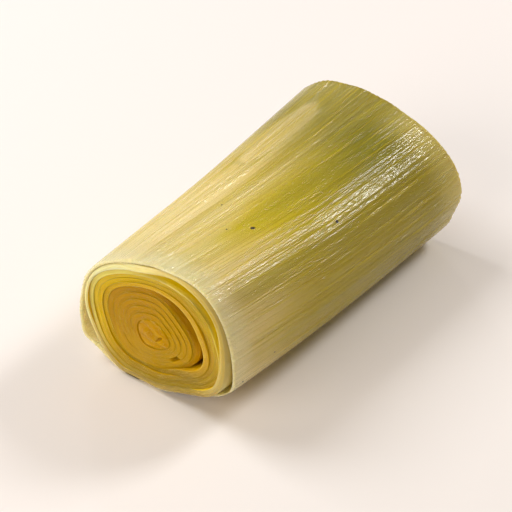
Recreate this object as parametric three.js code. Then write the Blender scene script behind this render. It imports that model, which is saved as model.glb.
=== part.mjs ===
// A cut length of leek shaft, cooked soft and lying on its side.
// It is a nest of leaf sheaths: each leaf is a closed tube of its own, one inside the next, round a small heart.
// Millimetres, +Z up. The shaft runs along X, from the pale cut end at -X to the green cut end at +X, on z = 0.
// Round the shaft, angle 0 is the +Y side, a quarter turn is the top and half a turn is the -Y side.
import * as THREE from "three";

// Driving dimensions of the outside, at the pale end and at the green end. Rolls and the twist are in radians.
const LENGTH = 70;
const PALE_END = { halfWidth: 18.6, halfHeight: 14.3, roll: -0.33, squareness: 2.6 };
const GREEN_END = { halfWidth: 20.6, halfHeight: 15.0, roll: 0.33, squareness: 2.3 };
const SAG = 0.5; // how far the soft shaft is pressed flat where it lies
const TWIST = 0.26; // turn of the veins from end to end
const PALE_CUT = { lean: 0, rake: 0.03 }; // slope of the cut with Y and with height
const GREEN_CUT = { lean: -0.11, rake: -0.02 };

// Waves that keep the rings from being perfect ovals: their height as a share of the radius, and how fast the two
// of them turn with the share and along the shaft
const WAVE = { height: 0.008, coil: 11, counter: 7, drift: 2 };
const PRESSED_FROM = 0.3; // the share of the radius from which the leaves follow the table
const RIB_HEIGHT = 0.08; // of the ribs on the outermost leaf

// The loosened places of the outermost leaf. Its thin margin stands off at the lower left of the pale cut,
// and its lower right side is eased away from the next leaf.
const MARGIN = { angle: 6.0, spread: 0.32, reach: 0.13, lift: 2.4 };
const EASED = { angle: 3.75, spread: 0.4, reach: 0.4, lift: 0.7 };

// The outer leaves from the outside in. gap is the free space outside a leaf and wall its thickness, as shares of
// the outer radius. set is how far its pale end is set back from the cut, and back its green end, in millimetres.
// The four figures of each are for the +Y side, the top, the -Y side and the bottom.
// A leaf may stand off the one outside it in a crescent, may have a thick side, and its pale edge may be uneven:
// torn further back at one place, or standing forward of the cut there, in millimetres.
const NO_GAP = [0, 0, 0, 0];
const GAP = [0.018, 0.0205, 0.018, 0.0205];
const THIN_WALL = [0.045, 0.039, 0.045, 0.036];
const OUTER_LEAVES = [
  {
    gap: NO_GAP,
    wall: [0.045, 0.047, 0.046, 0.056],
    set: [0.1, 1.1, 0.3, 1.2],
    uneven: { angle: 3.95, spread: 0.45, extra: 1.5 },
    back: [0.2, 0, 0.3, 0.2],
  },
  {
    gap: GAP,
    wall: [0.035, 0.035, 0.04, 0.05],
    thickSide: { angle: 4.1, spread: 0.8, extra: 0.035 },
    set: [-0.2, 0.2, -0.2, 0.4],
    uneven: { angle: 3.4, spread: 0.38, extra: -1.8 },
    back: [0.6, 0.3, 0.2, 0.4],
  },
  {
    gap: GAP,
    crescent: { angle: 2.35, spread: 0.6, extra: 0.075 },
    wall: THIN_WALL,
    set: [0.1, 0.3, 0.0, 0.4],
    back: [0.1, 0.5, 0.9, 0.1],
  },
  { gap: GAP, wall: THIN_WALL, set: [0.3, 0.5, 0.1, 0.4], back: [0.5, 0.2, 0.4, 0.6] },
  { gap: GAP, wall: THIN_WALL, set: [0.2, 0.4, 0.2, 0.2], back: [0.2, 0.6, 0.5, 0.2] },
  { gap: GAP, wall: THIN_WALL, set: [0.4, 0.2, -0.2, 0.5], back: [0.4, 0.3, 0.2, 0.4] },
];

// The core inside them lies to one side: young leaves of even thickness and the heart share out what is between
// its outside and its own middle, which is given as a place in the nest.
const CORE = {
  gap: GAP,
  crescent: { angle: 2.65, spread: 1.1, extra: 0.21 },
  middle: { share: 0.15, angle: 5.2 },
  leaves: 5,
  heartShare: 0.33,
  wallShare: 0.66, // of each leaf's own part; the rest is the gap inside it
  set: [0.4, 1.0, 1.2, 0.6],
  back: [0.5, 0.4, 0.6, 0.4],
  setFade: 0.1, // how much less each leaf is set back than the one outside it
};
const HEART_SET = 0.5;
const HEART_DOME = 0.7; // how far the heart's middle stands out of its rim
const DOME_RING = { scale: 0.55, height: 0.8 }; // the ring of the dome between its rim and its middle

// Grid steps round and along each leaf
const OUTERMOST_STEPS = { around: 64, along: 8 };
const LEAF_STEPS = { around: 38, along: 5 };
const STEPS_LESS_PER_LEAF = 2;
const HEART_STEPS = { around: 14, along: 4 };

const lerp = THREE.MathUtils.lerp;

// A smooth closed curve through four figures, a quarter turn apart: their mean and its first two harmonics.
function around4([left, top, right, bottom], angle) {
  const mean = (left + top + right + bottom) / 4;
  const sideways = ((left - right) / 2) * Math.cos(angle);
  const upright = ((top - bottom) / 2) * Math.sin(angle);
  const oval = ((left - top + right - bottom) / 4) * Math.cos(2 * angle);
  return mean + sideways + upright + oval;
}

// A smooth bump of height 1 round an angle.
function bumpAt(place, angle) {
  const turn = Math.atan2(Math.sin(angle - place.angle), Math.cos(angle - place.angle));
  return Math.exp(-((turn / place.spread) ** 2));
}

const extraAt = (place, angle) => (place ? place.extra * bumpAt(place, angle) : 0);

// How far the outermost leaf stands off the next one at a loosened place, fading from the pale end.
const liftAt = (place, angle, along) =>
  place.lift * bumpAt(place, angle) * Math.exp(-((along / place.reach) ** 2));

// The outline of the whole shaft at a place along it, 0 to 1: a rolled superellipse.
function outlineAt(along) {
  return {
    a: lerp(PALE_END.halfWidth, GREEN_END.halfWidth, along),
    b: lerp(PALE_END.halfHeight, GREEN_END.halfHeight, along),
    roll: lerp(PALE_END.roll, GREEN_END.roll, along),
    n: lerp(PALE_END.squareness, GREEN_END.squareness, along),
  };
}

// Its radius in a direction, from the superellipse's polar formula.
function radiusOf({ a, b, roll, n }, direction) {
  const turned = direction - roll;
  return (Math.abs(Math.cos(turned) / a) ** n + Math.abs(Math.sin(turned) / b) ** n) ** (-1 / n);
}

// The height of its middle above the table: its reach straight down, less the sag.
function middleHeight({ a, b, roll, n }) {
  const dual = n / (n - 1);
  return ((a * Math.abs(Math.sin(roll))) ** dual + (b * Math.cos(roll)) ** dual) ** (1 / dual) - SAG;
}

// A place in the cross-section. share is 1 at the outside and 0 at the middle; extra is added to the radius in
// millimetres. What would sink below the table is lifted onto it, and the leaves above are lifted with it.
function nestPlace(share, angle, along, extra = 0) {
  const outline = outlineAt(along);
  const direction = angle + TWIST * (along - 0.5);
  const coil = Math.sin(2 * angle + WAVE.coil * share);
  const counter = Math.sin(3 * angle - WAVE.counter * share + WAVE.drift * along);
  const full = radiusOf(outline, direction);
  const radius = full * share * (1 + WAVE.height * (coil + counter)) + extra;
  const middle = middleHeight(outline);
  const sunk = -(middle + radius * Math.sin(direction));
  const follow = THREE.MathUtils.clamp((share - PRESSED_FROM) / (1 - PRESSED_FROM), 0, 1);
  const pressed = -(middle + full * Math.sin(direction)) * follow;
  const lifted = Math.max(0, sunk, pressed);
  return { y: radius * Math.cos(direction), z: middle + radius * Math.sin(direction) + lifted };
}

// The point at a place of the cross-section, between the two cuts.
function pointAt({ y, z }, along, set, back) {
  const height = z - middleHeight(outlineAt(along));
  const paleX = -LENGTH / 2 + set + PALE_CUT.lean * y + PALE_CUT.rake * height;
  const greenX = LENGTH / 2 - back + GREEN_CUT.lean * y + GREEN_CUT.rake * height;
  return new THREE.Vector3(lerp(paleX, greenX, along), y, z);
}

const anglesOf = (around) => Array.from({ length: around }, (_, i) => (2 * Math.PI * i) / around);

// The triangles between two closed rings that have the same count of points.
function bandBetween(first, second, count) {
  return Array.from({ length: count }, (_, i) => {
    const j = (i + 1) % count;
    return [first + i, first + j, second + j, first + i, second + j, second + i];
  }).flat();
}

function solidOf(points, index) {
  const geometry = new THREE.BufferGeometry();
  geometry.setAttribute("position", new THREE.Float32BufferAttribute(points.flatMap((p) => p.toArray()), 3));
  geometry.setIndex(index);
  return geometry;
}

// One leaf: a tube whose outside runs from the pale end to the green one, and whose inside runs back.
function leafGeometry(leaf, steps) {
  const wallRing = (placeAt, along, rib) =>
    anglesOf(steps.around).map((angle, i) => {
      const stoodOff = leaf.loose ? liftAt(MARGIN, angle, along) + liftAt(EASED, angle, along) : 0;
      const set = around4(leaf.set, angle) + extraAt(leaf.uneven, angle);
      return pointAt(placeAt(angle, along, stoodOff - (i % 2) * rib), along, set, around4(leaf.back, angle));
    });
  const places = Array.from({ length: steps.along + 1 }, (_, s) => s / steps.along);
  const rings = [
    ...places.map((along) => wallRing(leaf.outside, along, leaf.loose ? RIB_HEIGHT : 0)),
    ...places.reverse().map((along) => wallRing(leaf.inside, along, 0)),
  ];
  const count = steps.around;
  const index = rings.flatMap((_, r) => bandBetween(r * count, ((r + 1) % rings.length) * count, count));
  return solidOf(rings.flat(), index);
}

// The heart: a solid core whose ends are domed, each closed at a point in its middle. placeAt takes a share of the
// heart's own radius.
function heartGeometry(placeAt, steps) {
  const ring = (along, scale, dome) =>
    anglesOf(steps.around).map((angle) =>
      pointAt(placeAt(scale, angle, along), along, HEART_SET - dome, HEART_SET - dome),
    );
  const domeHeight = DOME_RING.height * HEART_DOME;
  const rings = [ring(0, DOME_RING.scale, domeHeight)];
  for (let s = 0; s <= steps.along; s++) rings.push(ring(s / steps.along, 1, 0));
  rings.push(ring(1, DOME_RING.scale, domeHeight));
  const tipOf = (along) => pointAt(placeAt(0, 0, along), along, HEART_SET - HEART_DOME, HEART_SET - HEART_DOME);
  const points = [...rings.flat(), tipOf(0), tipOf(1)];
  const count = steps.around;
  const index = rings.slice(1).flatMap((_, r) => bandBetween(r * count, (r + 1) * count, count));
  const last = (rings.length - 1) * count;
  for (let i = 0; i < count; i++) {
    const j = (i + 1) % count;
    index.push(points.length - 2, j, i);
    index.push(points.length - 1, last + i, last + j);
  }
  return solidOf(points, index);
}

const SKIN = { color: 0xb5ab3f, roughness: 0.35, metalness: 0 };
const PALE = { color: 0xd9cf83, roughness: 0.4, metalness: 0 };
const AMBER = { color: 0xc49a1c, roughness: 0.4, metalness: 0 };

const leek = new THREE.Group();
function addPiece(name, geometry, finish) {
  const mesh = new THREE.Mesh(geometry, new THREE.MeshStandardMaterial(finish));
  mesh.name = name;
  leek.add(mesh);
}

const sheathName = (number) => `sheath_${String(number).padStart(2, "0")}`;
const stepsOf = (number) => ({ ...LEAF_STEPS, around: LEAF_STEPS.around - STEPS_LESS_PER_LEAF * number });

// Each outer leaf starts where the one outside it ends, less the gap between them.
let reached = () => 1;
OUTER_LEAVES.forEach((leaf, i) => {
  const before = reached;
  const outside = (angle) => before(angle) - around4(leaf.gap, angle) - extraAt(leaf.crescent, angle);
  const inside = (angle) => outside(angle) - around4(leaf.wall, angle) - extraAt(leaf.thickSide, angle);
  const shape = {
    ...leaf,
    loose: i === 0,
    outside: (angle, along, extra) => nestPlace(outside(angle), angle, along, extra),
    inside: (angle, along, extra) => nestPlace(inside(angle), angle, along, extra),
  };
  const steps = i === 0 ? OUTERMOST_STEPS : stepsOf(i);
  addPiece(sheathName(i + 1), leafGeometry(shape, steps), i === 0 ? SKIN : PALE);
  reached = inside;
});

const coreShare = (angle) => reached(angle) - around4(CORE.gap, angle) - extraAt(CORE.crescent, angle);

// A place in the core: share is 1 at its outside and 0 at its own middle.
function corePlace(share, angle, along) {
  const rim = nestPlace(coreShare(angle), angle, along);
  const middle = nestPlace(CORE.middle.share, CORE.middle.angle, along);
  return { y: lerp(middle.y, rim.y, share), z: lerp(middle.z, rim.z, share) };
}

const leafShare = (1 - CORE.heartShare) / CORE.leaves;
for (let i = 0; i < CORE.leaves; i++) {
  const shape = {
    outside: (angle, along) => corePlace(1 - leafShare * i, angle, along),
    inside: (angle, along) => corePlace(1 - leafShare * (i + CORE.wallShare), angle, along),
    set: CORE.set.map((mm) => mm * (1 - CORE.setFade * i)),
    back: CORE.back.map((mm) => mm * (1 + CORE.setFade * i)),
  };
  const number = OUTER_LEAVES.length + i;
  addPiece(sheathName(number + 1), leafGeometry(shape, stepsOf(number)), AMBER);
}
const heartPlace = (scale, angle, along) => corePlace(scale * CORE.heartShare, angle, along);
addPiece("heart", heartGeometry(heartPlace, HEART_STEPS), AMBER);

// The origin is on the table, under the middle of the whole shaft's box.
const box = new THREE.Box3().setFromObject(leek);
leek.position.set(-(box.min.x + box.max.x) / 2, -(box.min.y + box.max.y) / 2, -box.min.z);

export default leek;
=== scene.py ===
"""A cut length of cooked leek shaft: a nest of wet, translucent leaves round a folded heart."""

import math

import bpy
import numpy as np
from bpy.props import FloatProperty, FloatVectorProperty, PointerProperty
from bpy.types import Operator, Panel, PropertyGroup
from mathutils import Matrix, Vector


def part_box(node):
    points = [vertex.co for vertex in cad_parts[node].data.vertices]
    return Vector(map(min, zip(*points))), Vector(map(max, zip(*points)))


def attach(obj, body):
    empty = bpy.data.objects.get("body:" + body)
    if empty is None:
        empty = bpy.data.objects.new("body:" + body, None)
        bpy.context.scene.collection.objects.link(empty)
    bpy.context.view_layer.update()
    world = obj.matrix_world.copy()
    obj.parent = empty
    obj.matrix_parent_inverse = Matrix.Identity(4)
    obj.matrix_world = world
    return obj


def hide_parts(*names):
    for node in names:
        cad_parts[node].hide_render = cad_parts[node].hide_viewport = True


bl_info = {
    "name": "Cooked Leek Piece",
    "version": (1, 0, 0),
    "blender": (4, 5, 0),
    "location": "View3D > Sidebar > Leek",
    "description": "Builds the leaves, heart and stage of a cut length of cooked leek",
    "category": "Add Mesh",
}

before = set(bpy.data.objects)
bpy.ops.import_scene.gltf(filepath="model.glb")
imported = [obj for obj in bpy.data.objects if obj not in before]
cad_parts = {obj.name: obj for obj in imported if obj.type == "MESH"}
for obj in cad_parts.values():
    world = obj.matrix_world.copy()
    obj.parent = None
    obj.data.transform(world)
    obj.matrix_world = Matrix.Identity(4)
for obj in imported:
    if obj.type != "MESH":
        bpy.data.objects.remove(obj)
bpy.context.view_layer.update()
MM = 0.001

# The outline of the shaft, as in the part's source: millimetres, and radians for the rolls and the twist
LENGTH = 70.0
PALE_END = {"half_width": 18.6, "half_height": 14.3, "roll": -0.33, "squareness": 2.6}
GREEN_END = {"half_width": 20.6, "half_height": 15.0, "roll": 0.33, "squareness": 2.3}
SAG = 0.5
TWIST = 0.26
PALE_CUT = {"lean": 0.0, "rake": 0.03}
GREEN_CUT = {"lean": -0.11, "rake": -0.02}

# The waves in every leaf, and the share of the radius from which leaves follow the pressed underside
WAVE = {"height": 0.008, "coil": 11, "counter": 7, "drift": 2}
PRESSED_FROM = 0.3

# Where the outermost leaf stands off, most at the pale cut
MARGIN = {"angle": 6.0, "spread": 0.32, "reach": 0.13, "lift": 2.4}
EASED = {"angle": 3.75, "spread": 0.4, "reach": 0.4, "lift": 0.7}

# How finely the second leaf is sampled, round and along it, when its box is laid on that of its CAD solid
BOX_STEPS = {"around": 144, "along": 8}

# Fullness of the shaft's left shoulder, which is too slight for the CAD solids
SHOULDER = {"angle": 1.05, "spread": 0.55, "middle": 0.25, "reach": 0.3, "lift": 0.45}

# The leaves from the outside in. Figures in fours are for the +Y side, the top, the -Y side and the bottom.
# Gaps and walls are shares of the outline's radius. Set and back are how far the ends stand back, in mm.
NO_GAP = (0.0, 0.0, 0.0, 0.0)
GAP = (0.018, 0.0205, 0.018, 0.0205)
THIN_WALL = (0.045, 0.039, 0.045, 0.036)
OUTER_LEAVES = (
    {
        "gap": NO_GAP,
        "wall": (0.045, 0.047, 0.046, 0.056),
        "set": (0.1, 1.1, 0.3, 1.2),
        "uneven": {"angle": 3.95, "spread": 0.45, "extra": 1.5},
        "back": (0.2, 0, 0.3, 0.2),
    },
    {
        "gap": GAP,
        "wall": (0.035, 0.035, 0.04, 0.05),
        "thick_side": {"angle": 4.1, "spread": 0.8, "extra": 0.035},
        "set": (-0.2, 0.2, -0.2, 0.4),
        "uneven": {"angle": 3.4, "spread": 0.38, "extra": -1.8},
        "back": (0.6, 0.3, 0.2, 0.4),
    },
    {
        "gap": GAP,
        "crescent": {"angle": 2.35, "spread": 0.6, "extra": 0.075},
        "wall": THIN_WALL,
        "set": (0.1, 0.3, 0.0, 0.4),
        "back": (0.1, 0.5, 0.9, 0.1),
    },
    {"gap": GAP, "wall": THIN_WALL, "set": (0.3, 0.5, 0.1, 0.4), "back": (0.5, 0.2, 0.4, 0.6)},
    {"gap": GAP, "wall": THIN_WALL, "set": (0.2, 0.4, 0.2, 0.2), "back": (0.2, 0.6, 0.5, 0.2)},
    {"gap": GAP, "wall": THIN_WALL, "set": (0.4, 0.2, -0.2, 0.5), "back": (0.4, 0.3, 0.2, 0.4)},
)

# The core, round a middle of its own. Its heart and walls are shares of its radius and of one leaf's step.
CORE = {
    "gap": GAP,
    "crescent": {"angle": 2.65, "spread": 1.1, "extra": 0.21},
    "middle": {"share": 0.15, "angle": 5.2},
    "leaves": 5,
    "heart_share": 0.33,
    "wall_share": 0.66,
    "set": (0.4, 1.0, 1.2, 0.6),
    "back": (0.5, 0.4, 0.6, 0.4),
    "set_fade": 0.1,
}

# How far the heart is set back from both cuts, and how high it is domed there, in millimetres
HEART_SET = 0.5
HEART_DOME = 0.7

# Leaves are numbered from 0, the outermost one
OUTERMOST = 0
SECOND = 1
INNERMOST_PALE = len(OUTER_LEAVES) - 1

# Small forms of the pale end that the CAD solids leave out. At two places the outermost leaf's rim flares
# out, and at one it is thinner than its wall.
FLAPS = (
    {"angle": 5.9, "spread": 0.1, "reach": 0.035, "lift": 0.9},
    {"angle": 5.25, "spread": 0.13, "reach": 0.03, "lift": 1.0},
)
THIN_RIM = {"angle": 3.7, "spread": 0.5, "extra": 0.5, "reach": 0.06}

# These rims slope back towards their outer edge, the last two where a crescent opens beside them
SLOPES = {
    1: {"angle": 1.3, "spread": 0.9, "extra": 0.8},
    2: {"angle": 2.4, "spread": 0.7, "extra": 1.5},
    6: {"angle": 2.8, "spread": 1.2, "extra": 1.2},
}

# The innermost pale leaf is thicker where the core lies against it, and one young leaf has a slit
PACKED = {"angle": 4.1, "spread": 0.5, "extra": 0.8}
SLITS = {8: {"angle": 4.1, "spread": 0.11, "extra": 1.6}}

# How much of the gap outside it each inner leaf fills: the CAD solids keep gaps, and real leaves touch
GAP_FILLED = 0.99

# The heart fills its hole in the same way: its radius as a share of the core's
HEART_FILLED = 0.374

# Colours are linear, as Blender's sockets take them
CREAM = (0.90, 0.70, 0.32)
GOLD = (0.58, 0.45, 0.01)
OLIVE = (0.24, 0.215, 0.012)
# Painted shade of the right flank, over the skin's own duller khaki there
SHADED_KHAKI = (0.38, 0.29, 0.02)
AMBER = (0.475, 0.248, 0.0)
MEMBRANE = (0.97, 0.79, 0.43)
VEIN_YELLOW = (0.56, 0.43, 0.01)
GREEN_EDGE = (0.66, 0.54, 0.15)
CLEAR_GREEN = (0.36, 0.33, 0.08)
# The rims' pale threads: partly their own pale rings, partly painted glints
PALE_THREAD_AND_GLINT = (0.86, 0.62, 0.16)
# Painted shade under the rims and under the skin at the pale cut, partly the wet underside's own darker
# olive
SHADED_WET_OLIVE = (0.25, 0.16, 0.005)
SPECK_BROWN = (0.03, 0.015, 0.004)

# The pale leaves' colours from the outside in: the rim's left (+Y) and right (-Y) sides, which are a
# painted lit and a painted shaded copy of its tone, then the leaf's outside and its inside. All their rims
# take a painted shade of olive underneath, partly the wet underside's own darker tone.
LEAF_TONES = tuple(
    {"left": left, "right": right, "outside": outside, "inside": inside, "under": SHADED_WET_OLIVE}
    for left, right, outside, inside in (
        ((1.0, 0.86, 0.42), (0.57, 0.47, 0.15), (0.57, 0.47, 0.15), (0.66, 0.45, 0.02)),
        ((1.0, 0.73, 0.17), (0.56, 0.38, 0.03), (0.60, 0.43, 0.0), (0.55, 0.34, 0.0)),
        ((0.98, 0.56, 0.03), (0.55, 0.36, 0.02), (0.52, 0.33, 0.0), (0.52, 0.31, 0.0)),
        ((0.76, 0.45, 0.002), (0.56, 0.34, 0.02), (0.48, 0.29, 0.0), (0.48, 0.28, 0.0)),
        ((0.66, 0.38, 0.0), (0.58, 0.36, 0.02), (0.46, 0.27, 0.0), (0.46, 0.25, 0.0)),
    )
)

# The leaves beside a crescent, whose rims have the tone of their outside along the outer edge there
EDGE_TONED = (2, 6)

# Shares of the core's amber: for its leaves' outsides, as painted shade, and by channel for the painted
# light on their rims' right and underside
AMBER_SHADE_SHARE = 0.8
LIGHT_AMBER = (1.12, 1.2, 1.0)

# The roughness where a leaf is dry and where it is wet, and its specular level, which is lower on one leaf
# that lies sheltered beside a crescent
SKIN_GLOSS = {"dry": 0.17, "wet": 0.1, "level": 0.5}
INNER_GLOSS = {"dry": 0.22, "wet": 0.08, "level": 0.15}
SHELTERED_LEAF = 2
SHELTERED_LEVEL = 0.05
WET_IOR = 1.4

# Light that passes into the flesh: its weight, its spread by colour and its reach in millimetres
FLESH = {"weight": 0.85, "radius": (1.0, 0.85, 0.5), "reach": 1.6}

# How high each pattern stands on the skin and on the leaves inside it, in millimetres. Below 0 it is sunk.
SKIN_RELIEF = {"Streak": 0.2, "Line": -0.14, "Wrinkle": -0.035, "Crinkle": -0.07, "Film": 0.02}
INNER_RELIEF = {"Ring": 0.15, "Thread": 0.1, "Film": 0.09}

# How strongly pale threads show on the rims, partly the rings' own pale lines and partly painted glints,
# and how many rings a rim has across it
THREADS = {"pale": 0.55, "core": 0.25}
RINGS = {"pale": 4.0, "core": 3.0}

# The veins' patterns: a noise's scale round the leaf, its scale along it and its detail. The nets are lines
# where a noise is less than this far from its middle, and the rims' threads are made in the same way.
VEIN_NOISES = {
    "Broad": (3.0, 1.3, 3),
    "Streak": (11.0, 1.2, 3),
    "Line": (26.0, 0.9, 1),
    "Wrinkle": (40.0, 120.0, 2),
}
VEIN_NETS = {"Line": 0.07, "Wrinkle": 0.09}
NOISE_MIDDLE = 0.5
NOISE_ROUGHNESS = 0.55
THREAD_REACH = 0.03
WET_SCALE = 160.0
FILM_SCALE = 900.0

# Seeded waves round the leaf: how high they stand in millimetres where no setting says so, their seed, how
# many there are, the fewest and most turns of one, and how far their phases drift along the shaft
UNEVEN_WALL = {"height": 0.03, "seed": 40, "waves": 6, "turns": (2, 7), "drift": 1.5}
SKIN_VEINS = {"seed": 7, "waves": 14, "turns": (40, 120), "drift": 0.6}
SKIN_DENTS = {"height": 0.1, "seed": 8, "waves": 8, "turns": (3, 16), "drift": 3.0}
RAGGED_CUT = {"seed": 60, "waves": 5, "turns": (2, 9), "drift": 0.0}

# Grid steps round and along a leaf, across a rim and along its inside
GRIDS = {"skin": (420, 64), "pale_leaf": (240, 20), "core": (180, 16)}
RIM_STEPS = 7
INSIDE_STEPS = 14

# How far a leaf may stand past the green cut, in millimetres
PAST_GREEN_CUT = 0.2

# The heart's grid, the bent line of its folds, the folds and the slit: heights and depths in millimetres,
# and the rest in shares of its radius
HEART_GRID = {"around": 96, "cap": 26, "side": 20, "pole": 0.02}
HEART_BEND = {"tilt": 0.35, "curve": 0.5, "offset": 0.1}
HEART_FOLDS = {"height": 0.16, "waves": 9}
HEART_SLIT = {
    "depth": 0.9,
    "across": 0.45,
    "up": 0.15,
    "slant": 0.4,
    "half_length": 0.16,
    "half_width": 0.07,
}

# The skin's masks: a field, the two ends of its range, and the mask at either end
SKIN_MASKS = {
    # The right flank's mask also places a painted shade there
    "right flank": ("side", -0.95, -0.5, 0.7, 0.0),
    "off the cut": ("along", 0.0, 0.4, 0.25, 1.0),
    # The left side's paler cream is partly painted light and partly the skin's own pale streaks
    "left side": ("side", -0.3, 0.35, 0.0, 1.0),
    "streaks": ("Streak", 0.36, 0.56, 0.45, 1.0),
    "pale half": ("along", 0.25, 0.85, 1.0, 0.15),
    "clear spots": ("Broad", 0.5, 0.7, 0.0, 0.45),
    "near the cut": ("along", 0.0, 0.1, 0.8, 0.0),
    # These two place the painted shade under the skin at the pale cut
    "at the cut": ("along", 0.03, 0.08, 1.0, 0.0),
    "underneath": ("height", -0.95, -0.7, 0.85, 0.0),
    "green rim": ("along", 0.85, 1.0, 0.0, 0.8),
    "off the left": ("side", -0.6, 0.2, 1.0, 0.1),
    "wall": ("depth", 0.0, 0.3, 0.0, 1.0),
}

# The masks of the leaves inside it, in the same way
RIM_MASKS = {
    # The first two masks give the rims' painted light and shade, by side and underneath
    "left": ("side", -0.85, 0.6, 0.0, 1.0),
    "under": ("height", -0.9, 0.0, 0.8, 0.0),
    "rings": ("Ring", 0.3, 0.5, 0.35, 0.0),
    "beside": ("side", -0.45, 0.35, 1.0, 0.0),
    "above": ("height", -0.35, 0.1, 0.0, 1.0),
    "outer edge": ("depth", 0.35, 0.9, 1.0, 0.0),
    "rim": ("cut", 0.0, 0.9, 0.0, 1.0),
}

# Where the skin is crinkled, where a surface is wettest, and how strongly the skin's thin veins show
CRINKLED = ("along", 0.03, 0.14, 1.0, 0.0)
WETTEST = (0.4, 0.62)
LINE_STRENGTH = 0.5

# Places of the skin's three colours along it, and how far the broad pattern moves them
RAMP = {"cream": 0.03, "gold": 0.36, "olive": 0.8}
RAMP_STREAKS = 0.4

# Dark specks on the outermost leaf: angle, place along it from 0 to 1, and radius in millimetres
SPECKS = (
    (1.99, 0.300, 0.34),
    (2.46, 0.514, 0.26),
    (0.62, 0.012, 0.2),
    (1.78, 0.250, 0.14),
    (1.35, 0.339, 0.13),
    (3.35, 0.161, 0.14),
    (3.48, 0.032, 0.2),
)

# How strong the specks are, and where they start and stop fading, in shares of their radius
SPECK_STRENGTH = 0.98
SPECK_EDGE = (1.15, 1.6)

# A pale patch on its left shoulder, where the skin has lifted a little, with a crease round it, painted as
# a line of shade. The patterns make its outline uneven. It fades between two distances from its middle,
# where the crease runs.
PATCH = {"angle": 0.92, "along": 0.72, "half_width": 4.2, "half_length": 13.0, "strength": 0.35}
PATCH_OUTLINE = {"Broad": 1.8, "Streak": 1.0}
PATCH_EDGE = (2.1, 2.4)
CREASE_SHADE = {"at": 2.3, "half_width": 0.08, "strength": 0.25}

# A colour Mix node's inputs for factor, A and B, and its result, by their places
MIX_INPUTS = (0, 6, 7)
MIX_RESULT = 2

# The lights' places, sizes and colours, in metres. The stage's settings hold their powers.
LIGHTS = {
    "key": {"place": (-0.12, 0.45, 0.5), "size": 0.35, "colour": (1.0, 0.995, 0.98)},
    "window": {"place": (0.41, -0.18, 0.41), "size": 0.16, "colour": (1.0, 0.98, 0.96)},
    "fill": {"place": (-0.54, 0.06, 0.28), "size": 0.4, "colour": (1.0, 0.91, 0.80)},
    "glint": {"place": (0.36, 0.43, 0.2), "size": 0.06, "colour": (1.0, 0.98, 0.95)},
}
LIGHT_TARGET = (0.0, 0.0, 0.012)
ROOM = {"colour": (1.0, 0.82, 0.62), "strength": 0.22}
FLOOR = {"half": 3.0, "colour": (0.87, 0.84, 0.84), "roughness": 0.6}

# The camera looks at the leek from its pale end, over its left shoulder, in degrees and metres
CAMERA_TURN = -51.46
CAMERA_ELEVATION = 38.92
LENS_MM = 140.6
SENSOR_MM = 36.0
AIM = Vector((0.0, 0.0, 0.015))
AIM_LEFT = 0.00309
AIM_DOWN = 0.00287


class LeekShape(PropertyGroup):
    """Sizes that can be changed without changing the leaves' places"""

    vein_height: FloatProperty(
        name="Vein Height",
        description="Height of the veins on the outermost leaf, in mm",
        default=0.05,
        min=0.0,
    )
    ragged: FloatProperty(
        name="Ragged Cut",
        description="How far the cut edges wander along the shaft, in mm",
        default=0.16,
        min=0.0,
    )
    rounding: FloatProperty(
        name="Rim Rounding",
        description="How far a thick rim stands out of its edges, in mm",
        default=0.35,
        min=0.0,
    )
    inner_rounding: FloatProperty(
        name="Inner Rim Rounding",
        description="The same for the thin leaves inside, in mm",
        default=0.04,
        min=0.0,
    )


# What all colour settings share
COLOUR = {"subtype": "COLOR", "size": 3, "min": 0.0, "max": 1.0}


class LeekColours(PropertyGroup):
    """Colours of the outermost leaf and of the core"""

    cream: FloatVectorProperty(name="Cream", description="Skin at the pale end", default=CREAM, **COLOUR)
    gold: FloatVectorProperty(name="Gold", description="Skin along the middle", default=GOLD, **COLOUR)
    olive: FloatVectorProperty(name="Olive", description="Skin at the green end", default=OLIVE, **COLOUR)
    amber: FloatVectorProperty(name="Amber", description="Leaves of the core", default=AMBER, **COLOUR)


class LeekStage(PropertyGroup):
    """The camera's distance and the lights' powers"""

    distance: FloatProperty(
        name="Camera Distance", description="From the camera to the leek", default=0.3958, unit="LENGTH"
    )
    key_power: FloatProperty(
        name="Key Light", description="Power of the key light", default=2.8, unit="POWER"
    )
    window_power: FloatProperty(
        name="Window", description="Power of the window light", default=1.7, unit="POWER"
    )
    glint_power: FloatProperty(
        name="Glint", description="Power of the small far light", default=0.2, unit="POWER"
    )
    fill_power: FloatProperty(
        name="Fill Light", description="Power of the fill light", default=1.9, unit="POWER"
    )


def around_four(four, angle):
    """A smooth closed curve through four figures a quarter turn apart: their mean and two harmonics."""
    left, top, right, bottom = four
    mean = (left + top + right + bottom) / 4
    sideways = (left - right) / 2 * np.cos(angle)
    upright = (top - bottom) / 2 * np.sin(angle)
    oval = (left - top + right - bottom) / 4 * np.cos(2 * angle)
    return mean + sideways + upright + oval


def bump_at(place, angle):
    """A smooth bump of height 1 round an angle: e to the minus square of the turn over the spread."""
    turn = np.arctan2(np.sin(angle - place["angle"]), np.cos(angle - place["angle"]))
    return np.exp(-((turn / place["spread"]) ** 2))


def extra_at(place, angle):
    """What a place adds at an angle: its extra times its bump, and nothing where there is no such place."""
    return place["extra"] * bump_at(place, angle) if place else 0.0 * angle


def lift_at(place, angle, along):
    """How far the outermost leaf stands off at a loosened place: its bump, fading from the pale end."""
    return place["lift"] * bump_at(place, angle) * np.exp(-((along / place["reach"]) ** 2))


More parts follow.
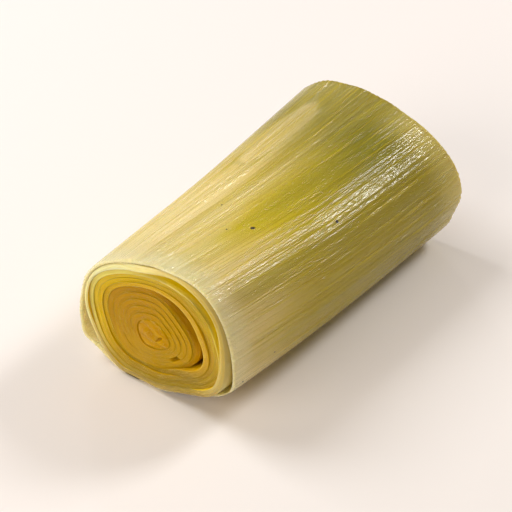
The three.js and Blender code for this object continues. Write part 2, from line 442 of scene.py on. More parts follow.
def outline_at(along):
    """The shaft's half width, half height, roll and squareness along it, and the height of its middle.

    The middle stands as high as the rolled superellipse reaches down from it, less the sag. That reach is
    the dual norm of its two half sizes, each times the sine or cosine of the roll.
    """
    a, b, roll, n = (
        PALE_END[key] + (GREEN_END[key] - PALE_END[key]) * along
        for key in ("half_width", "half_height", "roll", "squareness")
    )
    dual = n / (n - 1)
    reach_down = ((a * np.abs(np.sin(roll))) ** dual + (b * np.cos(roll)) ** dual) ** (1 / dual)
    return a, b, roll, n, reach_down - SAG


def nest_place(share, angle, along, extra=0.0):
    """Places in the cross-section, as y and z in millimetres.

    The outline is a superellipse whose half sizes, roll and power go evenly from one end to the other. A
    place lies at share times the outline's radius in its direction, plus extra. What would sink below the
    table is lifted onto it, and the leaves above are lifted with it.
    """
    a, b, roll, n, middle = outline_at(along)
    direction = angle + TWIST * (along - 0.5)
    turned = direction - roll
    full = (np.abs(np.cos(turned) / a) ** n + np.abs(np.sin(turned) / b) ** n) ** (-1 / n)
    coil = np.sin(2 * angle + WAVE["coil"] * share)
    counter = np.sin(3 * angle - WAVE["counter"] * share + WAVE["drift"] * along)
    radius = full * share * (1 + WAVE["height"] * (coil + counter)) + extra
    sunk = -(middle + radius * np.sin(direction))
    follow = np.clip((share - PRESSED_FROM) / (1 - PRESSED_FROM), 0, 1)
    pressed = -(middle + full * np.sin(direction)) * follow
    lifted = np.maximum(0, np.maximum(sunk, pressed))
    return radius * np.cos(direction), middle + radius * np.sin(direction) + lifted


def core_place(share, angle, along):
    """The same in the core: share 1 is its outside, 0 its own middle, and what is between goes evenly."""
    rim = nest_place(CORE_SHARE(angle), angle, along)
    middle = nest_place(CORE["middle"]["share"], CORE["middle"]["angle"] + 0.0 * angle, along)
    return tuple(inner + (outer - inner) * share for inner, outer in zip(middle, rim))


def points_at(place, along, set_back, back):
    """The points at places of the cross-section, in metres, part of the way between the sloping cuts."""
    y, z = place
    height = z - outline_at(along)[-1]
    pale_x = -LENGTH / 2 + set_back + PALE_CUT["lean"] * y + PALE_CUT["rake"] * height
    green_x = LENGTH / 2 - back + GREEN_CUT["lean"] * y + GREEN_CUT["rake"] * height
    return np.stack([pale_x + (green_x - pale_x) * along, y, z], axis=-1) * MM


def outer_leaf(leaf, before):
    """An outer leaf's outside, inside and filled outside, as functions of the angle that give shares."""
    def outside(angle):
        return before(angle) - around_four(leaf["gap"], angle) - extra_at(leaf.get("crescent"), angle)

    def inside(angle):
        return outside(angle) - around_four(leaf["wall"], angle) - extra_at(leaf.get("thick_side"), angle)

    def filled(angle):
        return outside(angle) + GAP_FILLED * around_four(leaf["gap"], angle)

    return outside, inside, filled


def leaf_table():
    """Every leaf's own figures from the outside in, and the core's outside as a share of the outline.

    A leaf's outside, filled and inside give places in the cross-section. Filled is the outside drawn out
    over the gap that the CAD solids keep.
    """
    leaves = []

    def reached(angle):
        return 1.0 + 0.0 * angle

    for leaf in OUTER_LEAVES:
        outside, inside, filled = outer_leaf(leaf, reached)
        shares = {"outside": outside, "filled": filled, "inside": inside}
        places = {
            side: lambda angle, along, extra=0.0, share=share: nest_place(share(angle), angle, along, extra)
            for side, share in shares.items()
        }
        leaves.append({**leaf, **places})
        reached = inside

    def core_share(angle):
        return reached(angle) - around_four(CORE["gap"], angle) - extra_at(CORE["crescent"], angle)

    leaf_share = (1 - CORE["heart_share"]) / CORE["leaves"]
    gap_share = leaf_share * (1 - CORE["wall_share"])
    for i in range(CORE["leaves"]):
        outer, inner = 1 - leaf_share * i, 1 - leaf_share * (i + CORE["wall_share"])
        shares = {"outside": outer, "filled": outer + gap_share * GAP_FILLED, "inside": inner}
        places = {
            side: lambda angle, along, extra=0.0, share=share: core_place(share, angle, along)
            for side, share in shares.items()
        }
        set_back = tuple(mm * (1 - CORE["set_fade"] * i) for mm in CORE["set"])
        back = tuple(mm * (1 + CORE["set_fade"] * i) for mm in CORE["back"])
        leaves.append({**places, "set": set_back, "back": back})
    return leaves, core_share


LEAVES, CORE_SHARE = leaf_table()


def set_of(leaf, angle):
    """How far a leaf's pale end is set back from the cut, in millimetres."""
    return around_four(leaf["set"], angle) + extra_at(leaf.get("uneven"), angle)


def frame_shift():
    """What moves the shaft's own frame onto the CAD frame: the step between the same leaf's two boxes."""
    round_about = np.linspace(0, 2 * np.pi, BOX_STEPS["around"] + 1)
    angle, along = np.meshgrid(round_about, np.linspace(0, 1, BOX_STEPS["along"] + 1))
    leaf = LEAVES[SECOND]
    place = leaf["outside"](angle, along)
    points = points_at(place, along, set_of(leaf, angle), around_four(leaf["back"], angle)).reshape(-1, 3)
    low, high = (np.array(corner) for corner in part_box("sheath_02"))
    own = (points.min(0) + points.max(0)) / 2
    shift = (low + high) / 2 - own
    return np.array([shift[0], shift[1], 0.0])


SHIFT = frame_shift()


def wander(angle, along, kind, seed_step=0):
    """A seeded sum of sine waves round the leaf, from about -1 to 1.

    Each has a whole number of turns, and its phase drifts along the shaft.
    """
    rng = np.random.default_rng(kind["seed"] + seed_step)
    first, last = kind["turns"]
    total = 0.0 * angle * along
    for turns in rng.integers(first, last + 1, kind["waves"]):
        phase, slide = rng.uniform(0, 2 * np.pi), rng.normal(0, kind["drift"])
        total = total + np.sin(turns * angle + phase + slide * along)
    return total / math.sqrt(kind["waves"])


def leaf_loop(steps):
    """The loop across a leaf: its place along the shaft, its depth in the wall, and 1 on the rims, else 0.

    It runs along the outside, over the green rim, back along the inside and over the pale rim. The steps
    over a rim are spaced by a cosine, so that they lie closest at its two edges.
    """
    rim = 0.5 - 0.5 * np.cos(np.pi * (np.arange(RIM_STEPS) + 0.5) / RIM_STEPS)
    on_rim, outside, inside = np.ones(RIM_STEPS), np.zeros(steps), np.zeros(INSIDE_STEPS)
    along = np.concatenate([np.linspace(0, 1, steps), on_rim, np.linspace(1, 0, INSIDE_STEPS), 0 * on_rim])
    depth = np.concatenate([outside, rim, 1 + inside, rim[::-1]])
    return along, depth, np.concatenate([outside, on_rim, inside, on_rim])


def leaf_surface(number, shape, around, steps):
    """One leaf as a grid that closes on itself both ways: the angle round it, and a loop across it.

    Through the wall, places go evenly with depth from the filled outside to the inside. The rims swell
    along the shaft by a half sine of depth. Seeded waves move the walls and the cut edges a little.
    """
    leaf = LEAVES[number]
    outermost = number == OUTERMOST
    along, depth, cut = leaf_loop(steps)
    angle = np.linspace(0, 2 * np.pi, around, endpoint=False)
    theta, along = np.meshgrid(angle, along)
    depth, cut = depth[:, None] + 0 * theta, cut[:, None] + 0 * theta
    full = ((along - SHOULDER["middle"]) / SHOULDER["reach"]) ** 2
    shoulder = SHOULDER["lift"] * bump_at(SHOULDER, theta) * np.exp(-full)
    extra = UNEVEN_WALL["height"] * wander(theta, along, UNEVEN_WALL)
    if number == SECOND:
        extra += shoulder * (1 - depth)
    if number == INNERMOST_PALE:
        extra -= extra_at(PACKED, theta) * depth
    if outermost:
        veins = wander(theta, along, SKIN_VEINS) * shape.vein_height
        dents = wander(theta, along, SKIN_DENTS) * SKIN_DENTS["height"]
        loose = sum(lift_at(place, theta, along) for place in (MARGIN, EASED, *FLAPS))
        extra = loose + shoulder + (veins + dents) * (1 - depth)
    outer, inner = leaf["filled"](theta, along, extra), leaf["inside"](theta, along, extra)
    near_cut = np.exp(-((along / THIN_RIM["reach"]) ** 2))
    thinned = extra_at(THIN_RIM, theta) * near_cut if outermost else 0.0
    place = tuple(first + (second - first) * depth * (1 - thinned) for first, second in zip(outer, inner))
    rounding = shape.rounding if number <= SECOND else shape.inner_rounding
    swell = rounding * np.sin(np.pi * depth) * cut

    # The cut edges are less ragged further in
    calm = 1 + number // 2
    ragged = shape.ragged * wander(theta, 0 * along, RAGGED_CUT, number) / calm
    slope = extra_at(SLOPES.get(number), theta) * (1 - depth)
    set_back = set_of(leaf, theta) + ragged - swell + slope + extra_at(SLITS.get(number), theta)
    back = around_four(leaf["back"], theta) - ragged - swell
    points = points_at(place, along, set_back, np.maximum(back, -PAST_GREEN_CUT)) + SHIFT
    return points, theta, along, depth, cut


def closed_faces(rows, columns, ring):
    """Quads over a grid whose columns close on themselves, and whose rows do too where ring is true."""
    last = rows if ring else rows - 1
    row, column = np.meshgrid(np.arange(last), np.arange(columns), indexing="ij")
    below, beside = (row + 1) % rows, (column + 1) % columns
    this_row, next_row = row * columns, below * columns
    corners = [this_row + column, this_row + beside, next_row + beside, next_row + column]
    return np.stack(corners, axis=-1).reshape(-1, 4)


def store(mesh, name, kind, values):
    """Puts values on the mesh's points as an attribute that the materials read."""
    layer = mesh.attributes.new(name, kind, "POINT")
    field = "vector" if kind == "FLOAT_VECTOR" else "value"
    layer.data.foreach_set(field, np.asarray(values, np.float32).ravel())


def smooth_object(name, points, faces, angle, along, depth, cut):
    """A smooth-shaded object from points, faces and the attributes that all materials of the leek read."""
    mesh = bpy.data.meshes.new(name)
    mesh.from_pydata(points.reshape(-1, 3).tolist(), [], [list(face) for face in faces])
    store(mesh, "vein", "FLOAT_VECTOR", np.stack([np.cos(angle), np.sin(angle), along], axis=-1))
    store(mesh, "depth", "FLOAT", depth)
    store(mesh, "cut", "FLOAT", cut)
    mesh.polygons.foreach_set("use_smooth", np.ones(len(mesh.polygons), bool))
    mesh.update()
    piece = bpy.data.objects.new(name, mesh)
    bpy.context.scene.collection.objects.link(piece)
    return piece


def heart_surface():
    """The heart as a grid from the pale pole to the green one.

    Each cap is a dome, one less the square of the distance from its middle. Folds cross it as a cosine of
    the distance from a bent line, and a slit is sunk in it as a Gaussian of the distance from its own line.
    """
    around, cap_steps, side_steps = HEART_GRID["around"], HEART_GRID["cap"], HEART_GRID["side"]
    cap = np.linspace(HEART_GRID["pole"], 1, cap_steps)
    side = np.linspace(0, 1, side_steps + 2)[1:-1]
    scale = np.concatenate([cap, np.ones(side_steps), cap[::-1]])
    along = np.concatenate([np.zeros(cap_steps), side, np.ones(cap_steps)])
    cut = np.concatenate([np.ones(cap_steps), np.zeros(side_steps), np.ones(cap_steps)])
    angle = np.linspace(0, 2 * np.pi, around, endpoint=False)
    theta, along = np.meshgrid(angle, along)
    scale, cut = scale[:, None] + 0 * theta, cut[:, None] + 0 * theta
    across, up = scale * np.cos(theta), scale * np.sin(theta)
    bent = up - HEART_BEND["tilt"] * across + HEART_BEND["curve"] * across**2 - HEART_BEND["offset"]
    folds = HEART_FOLDS["height"] * np.cos(HEART_FOLDS["waves"] * bent) * (1 - scale**4)
    lengthwise = (across + HEART_SLIT["across"]) / HEART_SLIT["half_length"]
    crosswise = (up + HEART_SLIT["up"] + HEART_SLIT["slant"] * across) / HEART_SLIT["half_width"]
    slit = HEART_SLIT["depth"] * np.exp(-(lengthwise**2) - crosswise**2)
    dome = HEART_DOME * (1 - scale**2) + (folds - slit) * cut
    set_back = HEART_SET - dome * cut
    points = points_at(core_place(scale * HEART_FILLED, theta, along), along, set_back, set_back) + SHIFT
    return points, theta, along, 1 - scale, cut


def node_group(name, inputs, outputs):
    """An empty shader group with named inputs (name, kind, default) and outputs (name, kind)."""
    group = bpy.data.node_groups.new(name, "ShaderNodeTree")
    for label, kind, default in inputs:
        socket = group.interface.new_socket(label, in_out="INPUT", socket_type=kind)
        if default is not None:
            socket.default_value = default
    for label, kind in outputs:
        group.interface.new_socket(label, in_out="OUTPUT", socket_type=kind)
    return group, group.nodes.new("NodeGroupInput"), group.nodes.new("NodeGroupOutput")


def math_node(tree, operation, *values):
    """A Math node whose inputs are sockets or numbers; returns its output."""
    node = tree.nodes.new("ShaderNodeMath")
    node.operation = operation
    for index, value in enumerate(values):
        if isinstance(value, bpy.types.NodeSocket):
            tree.links.new(value, node.inputs[index])
        else:
            node.inputs[index].default_value = value
    return node.outputs[0]


def product(tree, first, *others):
    """The product of sockets and numbers."""
    for other in others:
        first = math_node(tree, "MULTIPLY", first, other)
    return first


def off_value(tree, socket, value):
    """How far a socket is from a value, either way."""
    return math_node(tree, "ABSOLUTE", math_node(tree, "SUBTRACT", socket, value))


def mix_colour(tree, factor, first, second):
    """A Mix node for colours; returns its output. Each colour is a socket or three numbers."""
    node = tree.nodes.new("ShaderNodeMix")
    node.data_type = "RGBA"
    for index, value in zip(MIX_INPUTS, (factor, first, second)):
        if isinstance(value, bpy.types.NodeSocket):
            tree.links.new(value, node.inputs[index])
        elif index == MIX_INPUTS[0]:
            node.inputs[index].default_value = value
        else:
            node.inputs[index].default_value = (*value, 1.0)
    return node.outputs[MIX_RESULT]


def map_range(tree, value, low, high, to_low=0.0, to_high=1.0):
    """A smooth Map Range node; returns its output."""
    node = tree.nodes.new("ShaderNodeMapRange")
    node.interpolation_type = "SMOOTHSTEP"
    tree.links.new(value, node.inputs["Value"])
    for label, number in (("From Min", low), ("From Max", high), ("To Min", to_low), ("To Max", to_high)):
        node.inputs[label].default_value = number
    return node.outputs["Result"]


def mask(tree, fields, row):
    """A mask from a row of a mask table: its field, eased between the ends of its range."""
    label, *limits = row
    return map_range(tree, fields[label], *limits)


def noise(tree, vector, scale, detail=3.0):
    """A noise texture on a vector socket; returns its factor."""
    node = tree.nodes.new("ShaderNodeTexNoise")
    tree.links.new(vector, node.inputs["Vector"])
    node.inputs["Scale"].default_value = scale
    node.inputs["Detail"].default_value = detail
    node.inputs["Roughness"].default_value = NOISE_ROUGHNESS
    return node.outputs["Fac"]


def attribute(tree, name):
    """The node that reads one of the leek's attributes."""
    node = tree.nodes.new("ShaderNodeAttribute")
    node.attribute_name = name
    return node


def stretched(tree, vector, round_about, lengthwise):
    """The vein vector scaled round the leaf and along it."""
    node = tree.nodes.new("ShaderNodeVectorMath")
    node.operation = "MULTIPLY"
    tree.links.new(vector, node.inputs[0])
    node.inputs[1].default_value = (round_about, round_about, lengthwise)
    return node.outputs[0]


def make_vein_group():
    """Veins: patches and streaks along the leaf, and two nets of lines where a noise crosses its middle."""
    group, given, put = node_group(
        "Leek Veins",
        [("Vector", "NodeSocketVector", None)],
        [(label, "NodeSocketFloat") for label in VEIN_NOISES],
    )
    vector = given.outputs["Vector"]
    found = {
        label: noise(group, stretched(group, vector, round_about, lengthwise), 1.0, detail)
        for label, (round_about, lengthwise, detail) in VEIN_NOISES.items()
    }
    for label, reach in VEIN_NETS.items():
        found[label] = map_range(group, off_value(group, found[label], NOISE_MIDDLE), 0.0, reach, 1.0, 0.0)
    for label, value in found.items():
        group.links.new(value, put.inputs[label])
    return group


def make_juice_group():
    """Juice: where the surface is wettest, and the small uneven film that breaks up its gloss."""
    group, given, put = node_group(
        "Leek Juice",
        [("Vector", "NodeSocketVector", None)],
        [("Wetness", "NodeSocketFloat"), ("Film", "NodeSocketFloat")],
    )
    vector = given.outputs["Vector"]
    group.links.new(map_range(group, noise(group, vector, WET_SCALE), *WETTEST), put.inputs["Wetness"])
    group.links.new(noise(group, vector, FILM_SCALE), put.inputs["Film"])
    return group


def make_ring_group():
    """Rings on a cut rim: a noise drawn out round the leaf and fine across it, and threads in it."""
    group, given, put = node_group(
        "Leek Rings",
        [
            ("Vector", "NodeSocketVector", None),
            ("Depth", "NodeSocketFloat", 0.0),
            ("Across", "NodeSocketFloat", RINGS["pale"]),
        ],
        [("Ring", "NodeSocketFloat"), ("Thread", "NodeSocketFloat")],
    )
    split = group.nodes.new("ShaderNodeSeparateXYZ")
    group.links.new(given.outputs["Vector"], split.inputs[0])
    joined = group.nodes.new("ShaderNodeCombineXYZ")
    group.links.new(split.outputs["X"], joined.inputs["X"])
    group.links.new(split.outputs["Y"], joined.inputs["Y"])
    across = math_node(group, "MULTIPLY", given.outputs["Depth"], given.outputs["Across"])
    group.links.new(across, joined.inputs["Z"])
    ring = noise(group, joined.outputs["Vector"], 1.0)
    group.links.new(ring, put.inputs["Ring"])
    thread = map_range(group, off_value(group, ring, NOISE_MIDDLE), 0.0, THREAD_REACH, 1.0, 0.0)
    group.links.new(thread, put.inputs["Thread"])
    return group


def add_group(tree, group, vector):
    """A group node in a material, fed with a vector."""
    node = tree.nodes.new("ShaderNodeGroup")
    node.node_tree = group
    tree.links.new(vector, node.inputs["Vector"])
    return node


def weighted_sum(tree, parts):
    """The sum of sockets times numbers, given as (socket, number) pairs."""
    total, *others = (product(tree, socket, weight) for socket, weight in parts)
    for other in others:
        total = math_node(tree, "ADD", total, other)
    return total


def leaf_fields(tree, groups, across):
    """What the materials are built from: the leaf's attributes, its veins, its juice and its rings."""
    vein = attribute(tree, "vein").outputs["Vector"]
    split = tree.nodes.new("ShaderNodeSeparateXYZ")
    tree.links.new(vein, split.inputs[0])
    veins = add_group(tree, groups["veins"], vein)
    juice = add_group(tree, groups["juice"], tree.nodes.new("ShaderNodeTexCoord").outputs["Object"])
    rings = add_group(tree, groups["rings"], vein)
    depth = attribute(tree, "depth").outputs["Fac"]
    tree.links.new(depth, rings.inputs["Depth"])
    rings.inputs["Across"].default_value = across
    fields = {label: node.outputs[label] for node in (veins, juice, rings) for label in node.outputs.keys()}
    fields.update(vector=vein, side=split.outputs["X"], height=split.outputs["Y"], along=split.outputs["Z"])
    fields.update(depth=depth, cut=attribute(tree, "cut").outputs["Fac"])
    fields["Crinkle"] = product(tree, fields["Wrinkle"], mask(tree, fields, CRINKLED))
    return fields


def leaf_material(name, groups, across, colour_of, gloss, relief):
    """A wet, translucent leaf. The function colour_of builds its base colour."""
    material = bpy.data.materials.new(name)
    material.use_nodes = True
    tree = material.node_tree
    shader = tree.nodes["Principled BSDF"]
    fields = leaf_fields(tree, groups, across)
    tree.links.new(colour_of(tree, fields), shader.inputs["Base Color"])
    roughness = map_range(tree, fields["Wetness"], 0.0, 1.0, gloss["dry"], gloss["wet"])
    tree.links.new(roughness, shader.inputs["Roughness"])
    shader.inputs["IOR"].default_value = WET_IOR
    shader.inputs["Specular IOR Level"].default_value = gloss["level"]
    shader.inputs["Subsurface Weight"].default_value = FLESH["weight"]
    shader.inputs["Subsurface Radius"].default_value = FLESH["radius"]
    shader.inputs["Subsurface Scale"].default_value = FLESH["reach"] * MM
    bump = tree.nodes.new("ShaderNodeBump")
    bump.inputs["Strength"].default_value = 1.0
    bump.inputs["Distance"].default_value = MM
    height = weighted_sum(tree, [(fields[label], weight) for label, weight in relief.items()])
    tree.links.new(height, bump.inputs["Height"])
    tree.links.new(bump.outputs["Normal"], shader.inputs["Normal"])
    return material


def along_ramp(tree, fields, colours):
    """Cream, gold and olive along the shaft, which the broad pattern shifts so that they end in streaks."""
    shift = product(tree, fields["Broad"], RAMP_STREAKS)
    place = math_node(tree, "ADD", fields["along"], shift)
    ramp = tree.nodes.new("ShaderNodeValToRGB")
    tree.links.new(math_node(tree, "SUBTRACT", place, RAMP_STREAKS / 2), ramp.inputs["Fac"])
    elements = ramp.color_ramp.elements
    elements[0].position, elements[1].position = RAMP["cream"], RAMP["olive"]
    elements[0].color, elements[1].color = (*colours.cream, 1.0), (*colours.olive, 1.0)
    elements.new(RAMP["gold"]).color = (*colours.gold, 1.0)
    return ramp.outputs["Color"]


def distance_from(tree, fields, place, scale):
    """How far a point of the leaf is from a place on it, with the two ways round and along it scaled."""
    scaled = stretched(tree, fields["vector"], *scale)
    node = tree.nodes.new("ShaderNodeVectorMath")
    node.operation = "DISTANCE"
    tree.links.new(scaled, node.inputs[0])
    angle, along = place
    round_about, lengthwise = scale
    centre = (math.cos(angle) * round_about, math.sin(angle) * round_about, along * lengthwise)
    node.inputs[1].default_value = centre
    return node.outputs["Value"]


def patch_masks(tree, fields):
    """The pale patch and the painted shade of the crease round it, from an uneven oval round its middle."""
    radius = PALE_END["half_width"]
    scale = (radius / PATCH["half_width"], LENGTH / PATCH["half_length"])
    reach = distance_from(tree, fields, (PATCH["angle"], PATCH["along"]), scale)
    patterns = [(fields[label], weight) for label, weight in PATCH_OUTLINE.items()]
    uneven = weighted_sum(tree, [(reach, 1.0), *patterns])
    off_crease = off_value(tree, uneven, CREASE_SHADE["at"])
    patch = map_range(tree, uneven, *PATCH_EDGE, 1.0, 0.0)
    return patch, map_range(tree, off_crease, 0.0, CREASE_SHADE["half_width"], 1.0, 0.0)


def skin_colour(colours):
    """Colours along the shaft, with layers of other colours, some painted shade and light, by their masks'
    product.
    """
    def build(tree, fields):
        masks = {label: mask(tree, fields, row) for label, row in SKIN_MASKS.items()}
        patch, crease = patch_masks(tree, fields)
        layers = (
            # Painted shade: the right flank darker khaki, partly its own duller tone, less so near the pale
            # cut
            (SHADED_KHAKI, masks["right flank"], masks["off the cut"]),
            # Partly painted light: the skin's own pale streaks, drawn only on the lit left side of the pale
            # half
            (colours.cream, masks["left side"], masks["streaks"], masks["pale half"]),
            (MEMBRANE, patch, PATCH["strength"]),
            # Painted shade along the crease round the patch
            (colours.olive, crease, CREASE_SHADE["strength"]),
            (VEIN_YELLOW, fields["Line"], LINE_STRENGTH),
            (CLEAR_GREEN, masks["clear spots"], masks["right flank"]),
            (MEMBRANE, masks["near the cut"]),
            # Painted shade under the skin at the pale cut, partly its wet underside's own darker olive
            (SHADED_WET_OLIVE, masks["underneath"], masks["at the cut"]),
            (GREEN_EDGE, masks["green rim"], masks["off the left"]),
        )
        base = along_ramp(tree, fields, colours)
        for colour, *factors in layers:
            base = mix_colour(tree, product(tree, *factors), base, colour)
        for angle, along, radius in SPECKS:
            reach = distance_from(tree, fields, (angle, along), (PALE_END["half_width"], LENGTH))
            fading, gone = (share * radius for share in SPECK_EDGE)
            speck = map_range(tree, reach, fading, gone, SPECK_STRENGTH, 0.0)
            base = mix_colour(tree, speck, base, SPECK_BROWN)
        wall = mix_colour(tree, fields["along"], MEMBRANE, VEIN_YELLOW)
        return mix_colour(tree, masks["wall"], base, wall)

    return build


def leaf_colour(tones, threads, edge_toned):
    """The rim's painted lit and shaded tones from side to side, with rings and threads, and the walls'
    tones by depth.

    Where a crescent opens beside the rim, its outer edge has the tone of the leaf's outside.
    """
    def build(tree, fields):
        masks = {label: mask(tree, fields, row) for label, row in RIM_MASKS.items()}
        # Painted light and shade: the pale leaves' rims are lit on the left (+Y) and shaded on the right
        # and
        # underneath, and the core's rims are painted lighter on the right and underneath
        rim = mix_colour(tree, masks["left"], tones["right"], tones["left"])
        rim = mix_colour(tree, masks["under"], rim, tones["under"])
        rim = mix_colour(tree, masks["rings"], rim, tones["inside"])
        # Pale threads: partly the rings' own pale lines, partly painted glints
        rim = mix_colour(tree, product(tree, fields["Thread"], threads), rim, PALE_THREAD_AND_GLINT)
        if edge_toned:
            beside_crescent = product(tree, masks["beside"], masks["above"], masks["outer edge"])
            rim = mix_colour(tree, beside_crescent, rim, tones["outside"])
        wall = mix_colour(tree, fields["depth"], tones["outside"], tones["inside"])
        return mix_colour(tree, masks["rim"], wall, rim)

    return build


def core_tones(amber):
    """The tones of the core's leaves and of the heart, all from the same amber, with painted shade and
    light.
    """
    shaded = tuple(AMBER_SHADE_SHARE * value for value in amber)
    light = tuple(share * value for share, value in zip(LIGHT_AMBER, amber))
    return {"left": amber, "right": light, "outside": shaded, "inside": amber, "under": light}


def make_materials(colours):
    """The finishes of the skin, of the leaves inside it from the outside in, and of the heart."""
    groups = {"veins": make_vein_group(), "juice": make_juice_group(), "rings": make_ring_group()}
    skin = leaf_material("Leek Skin", groups, RINGS["pale"], skin_colour(colours), SKIN_GLOSS, SKIN_RELIEF)
    finishes = {"skin": skin}
    for index in range(1, len(LEAVES) + 1):
        kind = "pale" if index <= len(LEAF_TONES) else "core"
        tones = LEAF_TONES[index - 1] if kind == "pale" else core_tones(colours.amber)
        colour_of = leaf_colour(tones, THREADS[kind], index in EDGE_TONED)
        name = f"Leek Leaf {index + 1:02d}" if index < len(LEAVES) else "Leek Heart"
        gloss = {**INNER_GLOSS, "level": SHELTERED_LEVEL} if index == SHELTERED_LEAF else INNER_GLOSS
        finishes[index] = leaf_material(name, groups, RINGS[kind], colour_of, gloss, INNER_RELIEF)
    return finishes


FINISHES = {}


def dress(piece, node, finish):
    """The piece takes its finish, rides on the body and stands for its CAD node."""
    piece.data.materials.append(finish)
    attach(piece, "root")
    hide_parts(node)


def make_leaf(context, number, slot):
    """One leaf's surface as a dressed piece, on the grid of its slot."""
    points, *fields = leaf_surface(number, context.scene.leek_shape, *GRIDS[slot])
    name = f"sheath_{number + 1:02d}"
    piece = smooth_object(f"leek_{name}", points, closed_faces(*points.shape[:2], ring=True), *fields)
    dress(piece, name, FINISHES["skin" if number == OUTERMOST else number])


class LEEK_OT_outermost_leaf(Operator):
    """Make the outermost leaf, with its veins, dents and loosened places"""

    bl_idname = "leek.outermost_leaf"
    bl_label = "Make Outermost Leaf"

    def execute(self, context):
        make_leaf(context, OUTERMOST, "skin")
        return {"FINISHED"}


class LEEK_OT_pale_leaves(Operator):
    """Make the pale leaves inside the outermost one"""

    bl_idname = "leek.pale_leaves"
    bl_label = "Make Pale Leaves"

    def execute(self, context):
        for number in range(SECOND, len(OUTER_LEAVES)):
            make_leaf(context, number, "pale_leaf")
        return {"FINISHED"}


class LEEK_OT_core_leaves(Operator):
    """Make the amber leaves of the core"""

    bl_idname = "leek.core_leaves"
    bl_label = "Make Core Leaves"

    def execute(self, context):
        for number in range(len(OUTER_LEAVES), len(LEAVES)):
            make_leaf(context, number, "core")
        return {"FINISHED"}


class LEEK_OT_heart(Operator):
    """Make the folded heart"""

    bl_idname = "leek.heart"
    bl_label = "Make Heart"

    def execute(self, context):
        points, *fields = heart_surface()
        rows, columns = points.shape[:2]
        faces = closed_faces(rows, columns, ring=False).tolist()
        faces += [list(range(columns))[::-1], list(range((rows - 1) * columns, rows * columns))]
        piece = smooth_object("leek_heart", points, faces, *fields)
        dress(piece, "heart", FINISHES[len(LEAVES)])
        return {"FINISHED"}


class LEEK_OT_stage(Operator):
    """Make the floor, the soft lights and the camera"""

    bl_idname = "leek.stage"
    bl_label = "Make Stage"

    def execute(self, context):
        make_floor()
        make_lights(context.scene.leek_stage)
        make_camera(context.scene.leek_stage)
        return {"FINISHED"}


def make_floor():
    """A plain pale floor, wide enough to fill the picture."""
    mesh = bpy.data.meshes.new("floor")
    half = FLOOR["half"]
    corners = [(-half, -half, 0), (half, -half, 0), (half, half, 0), (-half, half, 0)]
    mesh.from_pydata(corners, [], [(0, 1, 2, 3)])
    floor = bpy.data.objects.new("floor", mesh)
    bpy.context.scene.collection.objects.link(floor)
    material = bpy.data.materials.new("Pale Floor")
    material.use_nodes = True
    shader = material.node_tree.nodes["Principled BSDF"]
    shader.inputs["Base Color"].default_value = (*FLOOR["colour"], 1.0)
    shader.inputs["Roughness"].default_value = FLOOR["roughness"]
    mesh.materials.append(material)


def view_vectors(turn, elevation):
    """The camera's back, right and up directions at a turn round the leek and an elevation, in radians."""
    level = math.cos(elevation)
    back = Vector((math.sin(turn) * level, -math.cos(turn) * level, math.sin(elevation)))
    right = Vector((math.cos(turn), math.sin(turn), 0))
    return back, right, back.cross(right)


def area_light(name, power, place, size, colour):
    """A square area light at a place, turned towards the leek."""
    data = bpy.data.lights.new(name, "AREA")
    data.shape = "SQUARE"
    data.size = size
    data.energy = power
    data.color = colour
    light = bpy.data.objects.new(name, data)
    light.location = place
    light.rotation_euler = (Vector(LIGHT_TARGET) - Vector(place)).to_track_quat("-Z", "Y").to_euler()
    bpy.context.scene.collection.objects.link(light)


def make_lights(stage):
    """A soft key, a window and a small lamp that the wet skin mirrors, a fill, and the pale room."""
    powers = {
        "key": stage.key_power,
        "window": stage.window_power,
        "fill": stage.fill_power,
        "glint": stage.glint_power,
    }
    for name, power in powers.items():
        area_light(name, power, **LIGHTS[name])
    world = bpy.data.worlds.new("Pale Room")
    bpy.context.scene.world = world
    world.use_nodes = True
    background = world.node_tree.nodes["Background"]
    background.inputs["Color"].default_value = (*ROOM["colour"], 1.0)
    background.inputs["Strength"].default_value = ROOM["strength"]
    bpy.context.scene.view_settings.view_transform = "Standard"


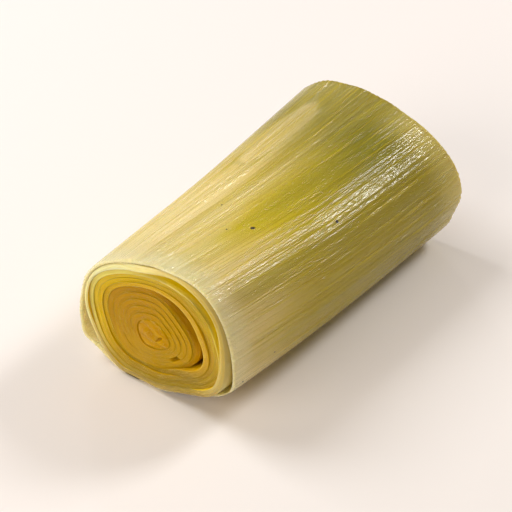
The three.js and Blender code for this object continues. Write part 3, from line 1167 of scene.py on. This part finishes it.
def make_camera(stage):
    """The camera at the picture's viewing angle, aimed a little to the side of the leek's middle."""
    back, right, up = view_vectors(math.radians(CAMERA_TURN), math.radians(CAMERA_ELEVATION))
    data = bpy.data.cameras.new("camera")
    data.lens = LENS_MM
    data.sensor_width = SENSOR_MM
    camera = bpy.data.objects.new("camera", data)
    target = AIM + Vector(SHIFT) - right * AIM_LEFT - up * AIM_DOWN
    camera.location = target + back * stage.distance
    camera.rotation_euler = back.to_track_quat("Z", "Y").to_euler()
    bpy.context.scene.collection.objects.link(camera)
    bpy.context.scene.camera = camera


class LEEK_PT_panel(Panel):
    """The leek's sizes, colours and pieces"""

    bl_idname = "LEEK_PT_panel"
    bl_label = "Cooked Leek Piece"
    bl_space_type = "VIEW_3D"
    bl_region_type = "UI"
    bl_category = "Leek"

    def draw(self, context):
        for group in (context.scene.leek_shape, context.scene.leek_colours, context.scene.leek_stage):
            for name in group.__annotations__:
                self.layout.prop(group, name)
        for operator in OPERATORS:
            self.layout.operator(operator.bl_idname)


OPERATORS = (
    LEEK_OT_outermost_leaf,
    LEEK_OT_pale_leaves,
    LEEK_OT_core_leaves,
    LEEK_OT_heart,
    LEEK_OT_stage,
)
CLASSES = (LeekShape, LeekColours, LeekStage, *OPERATORS, LEEK_PT_panel)


def register():
    """Registers the classes and hangs the settings on the scene."""
    for item in CLASSES:
        bpy.utils.register_class(item)
    bpy.types.Scene.leek_shape = PointerProperty(type=LeekShape)
    bpy.types.Scene.leek_colours = PointerProperty(type=LeekColours)
    bpy.types.Scene.leek_stage = PointerProperty(type=LeekStage)


def unregister():
    """Takes the settings and the classes away again."""
    del bpy.types.Scene.leek_stage
    del bpy.types.Scene.leek_colours
    del bpy.types.Scene.leek_shape
    for item in reversed(CLASSES):
        bpy.utils.unregister_class(item)


def main():
    """Makes every piece in order."""
    register()
    FINISHES.update(make_materials(bpy.context.scene.leek_colours))
    for operator in OPERATORS:
        group, name = operator.bl_idname.split(".")
        getattr(getattr(bpy.ops, group), name)()


if __name__ == "__main__":
    main()
